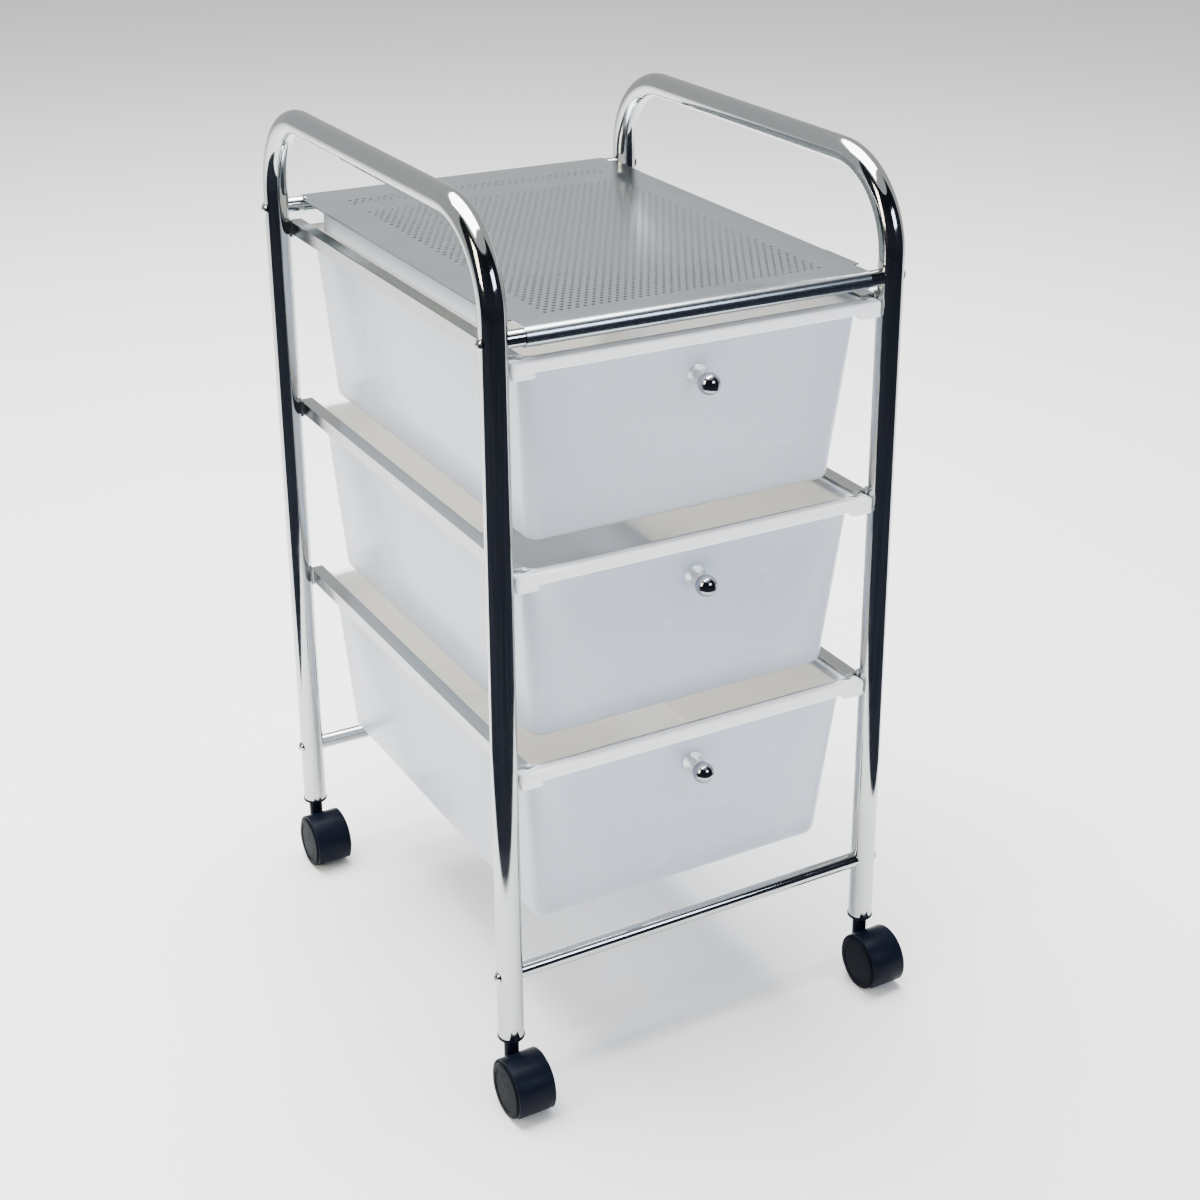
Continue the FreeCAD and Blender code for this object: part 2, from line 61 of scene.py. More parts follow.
NOISE_LOW, NOISE_HIGH = 0.3, 0.7  # most of a noise texture's values lie between these


class Named(Enum):
    """A choice whose name is a word in the names of pieces, bodies and nodes."""

    @property
    def word(self) -> str:
        """Lower-case name of the choice."""
        return self.name.lower()


class Side(Named):
    """The two sides of the cart, with the sign of X on each."""

    LEFT = -1
    RIGHT = 1


class End(Named):
    """The two ends of the cart, with the sign of Y on each."""

    FRONT = -1
    REAR = 1


class Level(Named):
    """The three drawer levels, counted down from the highest."""

    TOP = 0
    MIDDLE = 1
    BOTTOM = 2


class Part(Enum):
    """What an element picked on the bench is."""

    VERTS = "VERT"
    EDGES = "EDGE"
    FACES = "FACE"


# ---------------------------------------------------------------- the bench
def deselect() -> None:
    """Leaves object mode current and nothing selected."""
    if bpy.context.mode != "OBJECT":
        bpy.ops.object.mode_set(mode="OBJECT")
    bpy.ops.object.select_all(action="DESELECT")


def start(name: str, primitive: Callable[..., Any], **settings: Any) -> bpy.types.Object:
    """Adds a primitive at its size and place.

    Args:
        name: Name of the new piece.
        primitive: The bpy.ops.mesh operator that adds it.
        settings: The operator's settings, in metres.

    Returns:
        The new object, active and alone in the selection.
    """
    deselect()
    primitive(**settings)
    piece = bpy.context.active_object
    piece.name = name
    piece.data.name = name
    bpy.ops.object.transform_apply(location=True, rotation=True, scale=True)
    return piece


def block(
    name: str, low: tuple[float, float, float], high: tuple[float, float, float]
) -> bpy.types.Object:
    """Adds a rectangular block between two corners, to be shaped further.

    Args:
        name: Name of the new piece.
        low: Its lowest corner, in metres.
        high: Its highest corner, in metres.

    Returns:
        The new object.
    """
    middle = [(a + b) / 2 for a, b in zip(low, high)]
    size = [b - a for a, b in zip(low, high)]
    return start(name, bpy.ops.mesh.primitive_cube_add, size=1, location=middle, scale=size)


def make_active(piece: bpy.types.Object) -> None:
    """Selects one piece alone and makes it active."""
    deselect()
    piece.select_set(True)
    bpy.context.view_layer.objects.active = piece


@contextmanager
def shaping(piece: bpy.types.Object) -> Iterator[None]:
    """Holds a piece in edit mode with nothing picked, and leaves it afterwards."""
    make_active(piece)
    bpy.ops.object.mode_set(mode="EDIT")
    bpy.ops.mesh.select_mode(type="VERT")
    bpy.ops.mesh.select_all(action="DESELECT")
    yield
    bpy.ops.object.mode_set(mode="OBJECT")


def pick(piece: bpy.types.Object, part: Part, test: Callable[[Vector, Vector], bool]) -> None:
    """Picks elements of the piece in edit mode by their place and direction.

    Args:
        piece: The piece being shaped.
        part: Whether vertices, edges or faces are picked.
        test: Given an element's middle and its normal, or an edge's direction, says
            whether it is picked.
    """
    bpy.ops.mesh.select_mode(type=part.value)
    bpy.ops.mesh.select_all(action="DESELECT")
    mesh = bmesh.from_edit_mesh(piece.data)
    elements = {Part.VERTS: mesh.verts, Part.EDGES: mesh.edges, Part.FACES: mesh.faces}[part]
    for element in elements:
        if part is Part.VERTS:
            middle, heading = element.co, element.normal
        elif part is Part.EDGES:
            first, second = (vertex.co for vertex in element.verts)
            middle, heading = (first + second) / 2, (second - first).normalized()
        else:
            middle, heading = element.calc_center_median(), element.normal
        if test(middle, heading):
            element.select_set(True)
    mesh.select_flush_mode()
    bmesh.update_edit_mesh(piece.data)


def modify(piece: bpy.types.Object, kind: str, **settings: Any) -> None:
    """Adds a modifier with its settings and applies it.

    Args:
        piece: The piece it changes.
        kind: The modifier's type.
        settings: Its settings by name.
    """
    make_active(piece)
    modifier = piece.modifiers.new(kind.title(), kind)
    for key, value in settings.items():
        setattr(modifier, key, value)
    bpy.ops.object.modifier_apply(modifier=modifier.name)


def draw_out(move: tuple[float, float, float]) -> None:
    """Extrudes what is picked by a straight move."""
    bpy.ops.mesh.extrude_region_move(TRANSFORM_OT_translate={"value": move})


def tidy_normals(piece: bpy.types.Object) -> None:
    """Merges doubled points and turns every face outwards."""
    with shaping(piece):
        bpy.ops.mesh.select_all(action="SELECT")
        bpy.ops.mesh.remove_doubles(threshold=TOUCH)
        bpy.ops.mesh.normals_make_consistent(inside=False)


def smooth(piece: bpy.types.Object, angle_deg: float = 35.0) -> None:
    """Shades a piece smooth, but for edges sharper than an angle."""
    make_active(piece)
    bpy.ops.object.shade_smooth_by_angle(angle=math.radians(angle_deg))


def join(name: str, pieces: list[bpy.types.Object]) -> bpy.types.Object:
    """Joins pieces into the first of them.

    Args:
        name: Name of the joined piece.
        pieces: What is joined.

    Returns:
        The joined piece.
    """
    deselect()
    for piece in pieces:
        piece.select_set(True)
    bpy.context.view_layer.objects.active = pieces[0]
    bpy.ops.object.join()
    pieces[0].name = name
    pieces[0].data.name = name
    return pieces[0]


def moved_copy(piece: bpy.types.Object, name: str, move: Matrix) -> bpy.types.Object:
    """Copies a piece, with a mesh of its own, to another place.

    Args:
        piece: The piece to copy.
        name: Name of the copy.
        move: What takes the piece to the copy's place; it may mirror it.

    Returns:
        The copy, with its place in its mesh.
    """
    copy = piece.copy()
    copy.data = piece.data.copy()
    copy.name = name
    copy.data.name = name
    bpy.context.scene.collection.objects.link(copy)
    copy.data.transform(move)
    if move.determinant() < 0:
        copy.data.flip_normals()
    return copy


def on_level(piece: bpy.types.Object, name: str, level: Level) -> bpy.types.Object:
    """Gives what was made for the highest drawer to a drawer of any level.

    Args:
        piece: The highest drawer's piece.
        name: Name of a copy.
        level: The drawer it is for.

    Returns:
        The piece itself for the highest drawer, or else a lowered copy.
    """
    if level is Level.TOP:
        return piece
    return moved_copy(piece, name, Matrix.Translation((0, 0, -level.value * LEVEL_STEP)))


def fit(piece: bpy.types.Object, body: str, *nodes: str) -> None:
    """Sets a finished piece to move with its body and to stand for its nodes.

    Args:
        piece: The finished piece.
        body: The body it moves with.
        nodes: The frame's nodes it stands for.
    """
    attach(piece, body)
    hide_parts(*nodes)
    LOG.info("%s: %d faces, on %s", piece.name, len(piece.data.polygons), body)


# ---------------------------------------------------------------- finishes
def linear(hex_colour: str) -> tuple[float, float, float, float]:
    """Turns an sRGB hex colour to linear red, green, blue and alpha."""
    channels = [int(hex_colour[i : i + 2], 16) / 255 for i in (1, 3, 5)]
    red, green, blue = (
        c / 12.92 if c <= 0.04045 else ((c + 0.055) / 1.055) ** 2.4 for c in channels
    )
    return red, green, blue, 1.0


def add_node(
    tree: bpy.types.NodeTree,
    kind: str,
    settings: dict[str, Any] | None = None,
    inputs: dict[str | int, Any] | None = None,
) -> bpy.types.Node:
    """Adds a node with its settings, values and links.

    Args:
        tree: The material's or world's node tree.
        kind: The node's type.
        settings: Its properties by name.
        inputs: A value, or the output socket to link, for each input by name or number.

    Returns:
        The new node.
    """
    node = tree.nodes.new(kind)
    for key, value in (settings or {}).items():
        setattr(node, key, value)
    for key, value in (inputs or {}).items():
        if isinstance(value, bpy.types.NodeSocket):
            tree.links.new(value, node.inputs[key])
        else:
            node.inputs[key].default_value = value
    return node


def per_metre(size_mm: float) -> float:
    """Noise scale whose features have a real size in millimetres."""
    return 1.0 / (size_mm * MM)


@dataclass(frozen=True)
class Finish:
    """A surface with two close colours and a fine relief, both patterned in real sizes.

    Args:
        title: Material name: what it is and how its surface was made.
        slot: The record's material slot; not used.
        colour: Main sRGB colour.
        tint: The colour it drifts to.
        drift_mm: Size of the colour's drift.
        metallic: 1 for bare metal.
        roughness: Lowest and highest roughness over the surface.
        smudge_mm: Size of the patches of roughness.
        relief_mm: Size of the relief's grains.
        relief: Strength of the relief.
        stretch: How the relief is drawn out along X, Y and Z.
        ior: Index of refraction.
        extras: More of the shader's own sockets.
    """

    title: str
    slot: str
    colour: str
    tint: str
    drift_mm: float
    metallic: float
    roughness: tuple[float, float]
    smudge_mm: float
    relief_mm: float
    relief: float
    stretch: tuple[float, float, float] = (1.0, 1.0, 1.0)
    ior: float = 1.5
    extras: tuple[tuple[str, Any], ...] = ()

    def material(self) -> bpy.types.Material:
        """The finish's material, made the first time it is asked for."""
        known = bpy.data.materials.get(self.title)
        if known is not None:
            return known
        material = bpy.data.materials.new(self.title)
        material.use_nodes = True
        tree = material.node_tree
        shader = tree.nodes["Principled BSDF"]
        place = add_node(tree, "ShaderNodeTexCoord").outputs["Object"]
        drawn = add_node(tree, "ShaderNodeMapping", None, {"Vector": place, "Scale": self.stretch})
        drift = add_node(
            tree, "ShaderNodeTexNoise", None,
            {"Vector": place, "Scale": per_metre(self.drift_mm), "Detail": 3.0},
        )
        colour = add_node(
            tree, "ShaderNodeMix", {"data_type": "RGBA"},
            {0: drift.outputs["Fac"], 6: linear(self.colour), 7: linear(self.tint)},
        )
        smudge = add_node(
            tree, "ShaderNodeTexNoise", None,
            {"Vector": drawn.outputs["Vector"], "Scale": per_metre(self.smudge_mm), "Detail": 4.0},
        )
        rough = add_node(
            tree, "ShaderNodeMapRange", None,
            {"Value": smudge.outputs["Fac"], "From Min": NOISE_LOW, "From Max": NOISE_HIGH,
             "To Min": self.roughness[0], "To Max": self.roughness[1]},
        )
        grain = add_node(
            tree, "ShaderNodeTexNoise", None,
            {"Vector": drawn.outputs["Vector"], "Scale": per_metre(self.relief_mm), "Detail": 2.0},
        )
        bump = add_node(
            tree, "ShaderNodeBump", None,
            {"Height": grain.outputs["Fac"], "Strength": self.relief, "Distance": RELIEF_DEPTH},
        )
        tree.links.new(colour.outputs[2], shader.inputs["Base Color"])
        tree.links.new(rough.outputs["Result"], shader.inputs["Roughness"])
        tree.links.new(bump.outputs["Normal"], shader.inputs["Normal"])
        shader.inputs["Metallic"].default_value = self.metallic
        shader.inputs["IOR"].default_value = self.ior
        for socket, value in self.extras:
            shader.inputs[socket].default_value = value
        return material

    def dress(self, *pieces: bpy.types.Object) -> None:
        """Gives pieces this finish in place of any other."""
        for piece in pieces:
            piece.data.materials.clear()
            piece.data.materials.append(self.material())


# Nickel-chrome plate on polished steel tube: a mirror with the faint waviness of drawn tube.
CHROME_TUBE = Finish(
    "Chromium plate, polished tube", "chrome_tube", "#b0b4b7", "#babcba", 90, 1.0,
    (0.05, 0.11), 25, 14, 0.05,
)
# The same plate on folded channel, whose rolled faces are a little duller.
CHROME_CHANNEL = Finish(
    "Chromium plate, rolled channel", "runner_steel", "#a9adae", "#b4b6b4", 60, 1.0,
    (0.16, 0.26), 18, 8, 0.10, (1.0, 0.12, 1.0),
)
# Satin plate on cold-rolled sheet: soft reflections with no streaks.
SATIN_SHEET = Finish(
    "Satin nickel plate, cold-rolled sheet", "tray_sheet", "#b4bcc0", "#b9c0c3", 90, 1.0,
    (0.20, 0.22), 30, 1.2, 0.012,
)
# Nickel-plated screws, bright with a slightly soft edge.
BRIGHT_SCREW = Finish(
    "Bright nickel plate, cold-headed screw", "screw_steel", "#bfc3c6", "#cccfd0", 6, 1.0,
    (0.14, 0.24), 3, 1.0, 0.10,
)
# Chrome-plated ball: the sharpest mirror on the cart.
KNOB_CHROME = Finish(
    "Chromium plate, polished ball", "knob_chrome", "#9e9ea5", "#a9a9af", 12, 1.0,
    (0.03, 0.06), 5, 3, 0.03,
)
# Plain turned steel of stems and axles, with fine rings of the tool.
TURNED_STEEL = Finish(
    "Mild steel, turned", "plain_steel", "#8f9294", "#9c9fa0", 8, 1.0,
    (0.28, 0.40), 4, 0.6, 0.25, (1.0, 1.0, 6.0),
)
# Thin moulded polypropylene: some light goes through it, so it looks a little grey and
# cool, and what comes through to the inside is warmer. Part of its grey is painted shade:
# the walls are coloured darker than the rim and bar, which are the same plastic.
THIN_PLASTIC_SHADED = Finish(
    "Polypropylene, moulded thin", "drawer_plastic", "#cfd6df", "#c8d0da", 120, 0.0,
    (0.18, 0.28), 40, 1.6, 0.06, ior=1.49,
    extras=(
        ("Subsurface Weight", 0.8),
        ("Subsurface Radius", (0.020, 0.017, 0.012)),
        ("Subsurface Scale", 1.0),
    ),
)
# The same plastic in thick sections, which send nearly all the light back. Its near-white
# colour is partly painted light: the rim, bar and tabs are coloured lighter than the walls.
THICK_PLASTIC_LIT = Finish(
    "Polypropylene, moulded thick", "drawer_plastic", "#fbfcfd", "#f7f9fb", 120, 0.0,
    (0.16, 0.26), 40, 1.6, 0.06, ior=1.49,
)
# Clear styrene collar: glassy with a faintly frosted skin. Its index is lower than
# styrene's 1.59, so that the collar shows only faintly.
CLEAR_COLLAR = Finish(
    "Polystyrene, clear moulded", "clear_plastic", "#fafcfe", "#f4f8fb", 10, 0.0,
    (0.06, 0.12), 5, 1.0, 0.05, ior=1.3,
    extras=(("Transmission Weight", 0.8),),
)
# Black nylon of hoods and bushes: a blue-black satin with mould texture.
NYLON_HOOD = Finish(
    "Nylon, satin moulded", "caster_plastic", "#070b16", "#0b101d", 14, 0.0,
    (0.30, 0.42), 6, 0.8, 0.25, ior=1.53, extras=(("Specular IOR Level", 0.05),),
)
# The wheels' nylon is duller and a little less blue than the hoods'.
NYLON_WHEEL = Finish(
    "Nylon, matt moulded", "wheel_plastic", "#070b12", "#0b1017", 10, 0.0,
    (0.36, 0.50), 5, 0.7, 0.30, ior=1.53, extras=(("Specular IOR Level", 0.02),),
)
# White seamless paper of the studio floor, with no sheen.
STUDIO_PAPER = Finish(
    "Seamless paper, matt", "stage", "#f6f6f6", "#f3f3f3", 400, 0.0,
    (0.85, 0.95), 60, 2.0, 0.03, extras=(("Specular IOR Level", 0.0),),
)
# Black cotton velvet, seen only in reflections, which gives almost no light back. It is paler in wide
# patches, which are painted streaks in the chrome's reflections.
REFLECTION_CLOTH = Finish(
    "Cotton velvet, woven", "stage", "#04050a", "#2a2d36", 420, 0.0,
    (0.95, 1.0), 60, 2.0, 0.03, extras=(("Specular IOR Level", 0.0),),
)


# ---------------------------------------------------------------- frame
@dataclass
class SideFrame:
    """One bent tube: front post, handle and rear post.

    Args:
        side: Which side of the cart it is on.
        post_x: Distance of the tube's axis from the middle.
        post_y: Distance of each post's axis from the middle of the four posts.
        tube_r: Outside radius of the tube.
        wall: Thickness of the tube's wall.
        foot_z: Height of the open ends.
        handle_z: Height of the handle's axis.
        bend_r: Radius of the bends along the axis.
        around: Facets round the tube.
        bend_steps: Rings in each bend.
    """

    side: Side
    post_x: float = POST_X
    post_y: float = POST_Y
    tube_r: float = 9.5 * MM
    wall: float = 1.2 * MM
    foot_z: float = 52.5 * MM
    handle_z: float = 658.5 * MM
    bend_r: float = 65 * MM
    around: int = 56
    bend_steps: int = 28

    def build(self) -> bpy.types.Object:
        """Bends the tube up, over and down again, and gives it its wall."""
        x = self.side.value * self.post_x
        shoulder_z = self.handle_z - self.bend_r
        tube = start(
            f"{self.side.word}_frame_tube", bpy.ops.mesh.primitive_circle_add,
            vertices=self.around, radius=self.tube_r,
            location=(x, MIDDLE_Y - self.post_y, self.foot_z),
        )
        with shaping(tube):
            bpy.ops.mesh.select_all(action="SELECT")
            draw_out((0, 0, shoulder_z - self.foot_z))
            self._bend((x, MIDDLE_Y - self.post_y + self.bend_r, shoulder_z))
            draw_out((0, 2 * (self.post_y - self.bend_r), 0))
            self._bend((x, MIDDLE_Y + self.post_y - self.bend_r, shoulder_z))
            draw_out((0, 0, self.foot_z - shoulder_z))
        tidy_normals(tube)
        modify(tube, "SOLIDIFY", thickness=self.wall, offset=-1.0, use_even_offset=True)
        smooth(tube)
        return tube

    def _bend(self, centre: tuple[float, float, float]) -> None:
        """Turns the picked ring a quarter round a bend, over towards the back."""
        bpy.ops.mesh.spin(
            steps=self.bend_steps, angle=math.pi / 2, center=centre, axis=(1, 0, 0)
        )

    def place(self) -> None:
        """Builds the tube, dresses it and fixes it to the frame."""
        tube = self.build()
        CHROME_TUBE.dress(tube)
        fit(tube, "frame", f"{self.side.word}_side_frame")


@dataclass
class PerforatedTray:
    """Sheet tray with a field of round holes, rolled hems and folded side edges.

    Args:
        top_z: Height of the upper face.
        sheet: Thickness of the sheet.
        half_width: Half the width over the folded edges.
        pitch: Distance between holes in a row.
        hole_r: Radius of a hole.
        columns: Holes in the longer rows; the rows between have one fewer.
        rows: Rows in the main field.
        field_front: Y of the first row, from the tray's middle.
        strip_rows: Rows in the strip at the back.
        strip_front: Y of the strip's first row, from the tray's middle.
        hem_half: Half the length of each rolled hem.
        corner_half: Where the notched corners begin along Y, from the tray's middle.
        flange_half: Half the length of each folded side edge.
        flange_depth: How far the side edges are folded down.
        fold_r: Radius of the fold.
        bar_y: Crossbar axis along Y, from the tray's middle.
        bar_z: Crossbar axis height.
        hem_wrap_deg: How far the hem is rolled round its crossbar.
        hem_steps: Strips in each hem's roll.
        hole_sides: Sides of a hole.
    """

    top_z: float = 588.05 * MM
    sheet: float = 1.0 * MM
    half_width: float = 139 * MM
    pitch: float = 6 * MM
    hole_r: float = 1.5 * MM
    columns: int = 37
    rows: int = 57
    field_front: float = -172.6 * MM
    strip_rows: int = 3
    strip_front: float = 147.8 * MM
    hem_half: float = 134 * MM
    corner_half: float = 176.5 * MM
    flange_half: float = 135 * MM
    flange_depth: float = 15 * MM
    fold_r: float = 1.3 * MM
    bar_y: float = POST_Y
    bar_z: float = 581 * MM
    hem_wrap_deg: float = 255.0
    hem_steps: int = 18
    hole_sides: int = 8

    @property
    def row_step(self) -> float:
        """Distance between rows of the staggered pattern."""
        return self.pitch * math.sqrt(3) / 2

    @property
    def field_half(self) -> float:
        """Half the width of the holes' field."""
        return self.columns * self.pitch / 2

    def _cell(self) -> bpy.types.Object:
        """One hole with the sheet round it, a pitch wide and a row deep."""
        cell = start(
            "tray_hole", bpy.ops.mesh.primitive_circle_add,
            vertices=self.hole_sides, radius=self.hole_r,
        )
        reach = (self.pitch / 2 / self.hole_r, self.row_step / 2 / self.hole_r, 1)
        with shaping(cell):
            bpy.ops.mesh.select_all(action="SELECT")
            bpy.ops.mesh.extrude_region_move()
            bpy.ops.transform.resize(value=reach, center_override=(0, 0, 0))
            pick(
                cell, Part.VERTS,
                lambda at, _: abs(at.x) > 0.3 * self.pitch and abs(at.y) > 0.3 * self.row_step,
            )
            bpy.ops.transform.resize(
                value=(math.sqrt(2), math.sqrt(2), 1), center_override=(0, 0, 0)
            )
        return cell

    def _row(self, name: str, cell: bpy.types.Object, holes: int) -> bpy.types.Object:
        """A straight row of holes about the middle, made from the cell."""
        first_x = -(holes - 1) * self.pitch / 2
        row = moved_copy(cell, name, Matrix.Translation((first_x, 0, 0)))
        modify(
            row, "ARRAY", count=holes, use_relative_offset=False, use_constant_offset=True,
            constant_offset_displace=(self.pitch, 0, 0), use_merge_vertices=True,
            merge_threshold=TOUCH,
        )
        return row

    def _row_pair(self, cell: bpy.types.Object) -> bpy.types.Object:
        """A long row and the shorter row behind it, filled out to the same width."""
        long_row = self._row("tray_row_long", cell, self.columns)
        short_row = self._row("tray_row_short", cell, self.columns - 1)
        short_row.data.transform(Matrix.Translation((0, self.row_step, 0)))
        return join("tray_rows", [long_row, short_row, *(self._row_end(side) for side in Side)])

    def _row_end(self, side: Side) -> bpy.types.Object:
        """Plain half cell that fills out one end of the shorter row."""
        end = start(
            "tray_row_end", bpy.ops.mesh.primitive_grid_add,
            x_subdivisions=1, y_subdivisions=2, size=1,
        )
        with shaping(end):
            bpy.ops.mesh.select_all(action="SELECT")
            bpy.ops.transform.resize(
                value=(self.pitch / 2, self.row_step, 1), center_override=(0, 0, 0)
            )
            bpy.ops.transform.translate(
                value=(side.value * (self.field_half - self.pitch / 4), self.row_step, 0)
            )
        return end

    def _field(self, pair: bpy.types.Object, first_y: float, rows: int) -> bpy.types.Object:
        """A field of staggered rows that begins and ends with a long one."""
        field = moved_copy(pair, "tray_field", Matrix.Translation((0, first_y, 0)))
        modify(
            field, "ARRAY", count=(rows + 1) // 2, use_relative_offset=False,
            use_constant_offset=True, constant_offset_displace=(0, 2 * self.row_step, 0),
            use_merge_vertices=True, merge_threshold=TOUCH,
        )
        last_edge = first_y + (rows - 0.5) * self.row_step
        with shaping(field):
            pick(field, Part.FACES, lambda at, _: at.y > last_edge)
            bpy.ops.mesh.delete(type="FACE")
        return field

    def _widen(self, sheet: bpy.types.Object) -> None:
        """Draws plain margins out from the holes' field to the sheet's outline."""
        front_edge = self.field_front - self.row_step / 2
        field_end = self.field_front + (self.rows - 0.5) * self.row_step
        strip_start = self.strip_front - self.row_step / 2
        strip_end = self.strip_front + (self.strip_rows - 0.5) * self.row_step
        with shaping(sheet):
            pick(sheet, Part.EDGES, lambda at, _: abs(at.y - field_end) < NEAR)
            draw_out((0, strip_start - field_end, 0))
            bpy.ops.mesh.select_all(action="SELECT")
            bpy.ops.mesh.remove_doubles(threshold=NEAR)
            for edge, move in ((front_edge, -self.corner_half - front_edge),
                               (strip_end, self.corner_half - strip_end)):
                pick(sheet, Part.EDGES, lambda at, _: abs(at.y - edge) < NEAR)
                draw_out((0, move, 0))
            for side in Side:
                edge_x = side.value * self.field_half
                pick(sheet, Part.EDGES, lambda at, _: abs(at.x - edge_x) < NEAR)
                draw_out((side.value * (self.half_width - self.field_half), 0, 0))

    def _cut_lines(self, sheet: bpy.types.Object) -> None:
        """Scores the sheet where its hems and folds begin."""
        with shaping(sheet):
            for normal, distances in (
                ((1, 0, 0), (-self.hem_half, self.hem_half)),
                ((0, 1, 0), (-self.flange_half, self.flange_half)),
            ):
                for distance in distances:
                    bpy.ops.mesh.select_all(action="SELECT")
                    bpy.ops.mesh.bisect(
                        plane_co=tuple(distance * n for n in normal), plane_no=normal
                    )

    def _roll_hem(self, sheet: bpy.types.Object, end: End) -> None:
        """Draws one end out to its crossbar and rolls it round underneath."""
        y = end.value * self.corner_half
        with shaping(sheet):
            pick(
                sheet, Part.EDGES,
                lambda at, _: abs(at.y - y) < NEAR and abs(at.x) < self.hem_half,
            )
            draw_out((0, end.value * (self.bar_y - self.corner_half), 0))
            bpy.ops.mesh.spin(
                steps=self.hem_steps, angle=end.value * math.radians(self.hem_wrap_deg),
                center=(0, end.value * self.bar_y, self.bar_z - self.top_z), axis=(1, 0, 0),
            )

    def _fold_sides(self, sheet: bpy.types.Object) -> None:
        """Folds both side edges down between the posts, with a small radius."""
        with shaping(sheet):
            for side in Side:
                x = side.value * self.half_width
                pick(
                    sheet, Part.EDGES,
                    lambda at, _: abs(at.x - x) < NEAR and abs(at.y) < self.flange_half,
                )
                draw_out((0, 0, -self.flange_depth))
            pick(
                sheet, Part.EDGES,
                lambda at, _: abs(abs(at.x) - self.half_width) < NEAR
                and abs(at.z) < NEAR and abs(at.y) < self.flange_half,
            )
            bpy.ops.mesh.bevel(offset=self.fold_r, segments=3, affect="EDGES")

    def build(self) -> bpy.types.Object:
        """Makes the perforated sheet, its hems and folds, and gives it its thickness."""
        cell = self._cell()
        pair = self._row_pair(cell)
        field = self._field(pair, self.field_front, self.rows)
        strip = self._field(pair, self.strip_front, self.strip_rows)
        sheet = join("tray_perforated", [field, strip])
        for spare in (cell, pair):
            bpy.data.objects.remove(spare)
        self._widen(sheet)
        self._cut_lines(sheet)
        for end in End:
            self._roll_hem(sheet, end)
        self._fold_sides(sheet)
        tidy_normals(sheet)
        self._face_up(sheet)
        modify(sheet, "SOLIDIFY", thickness=self.sheet, offset=-1.0, use_even_offset=True)
        sheet.data.transform(Matrix.Translation((0, MIDDLE_Y, self.top_z)))
        smooth(sheet)
        return sheet

    def _face_up(self, sheet: bpy.types.Object) -> None:
        """Turns the open sheet so that its upper side is the outside."""
        rising = sum(face.normal.z * face.area for face in sheet.data.polygons)
        if rising < 0:
            sheet.data.flip_normals()

    def place(self) -> None:
        """Builds the tray, dresses it and fixes it to the frame."""
        tray = self.build()
        SATIN_SHEET.dress(tray)
        fit(tray, "frame", "top_tray")


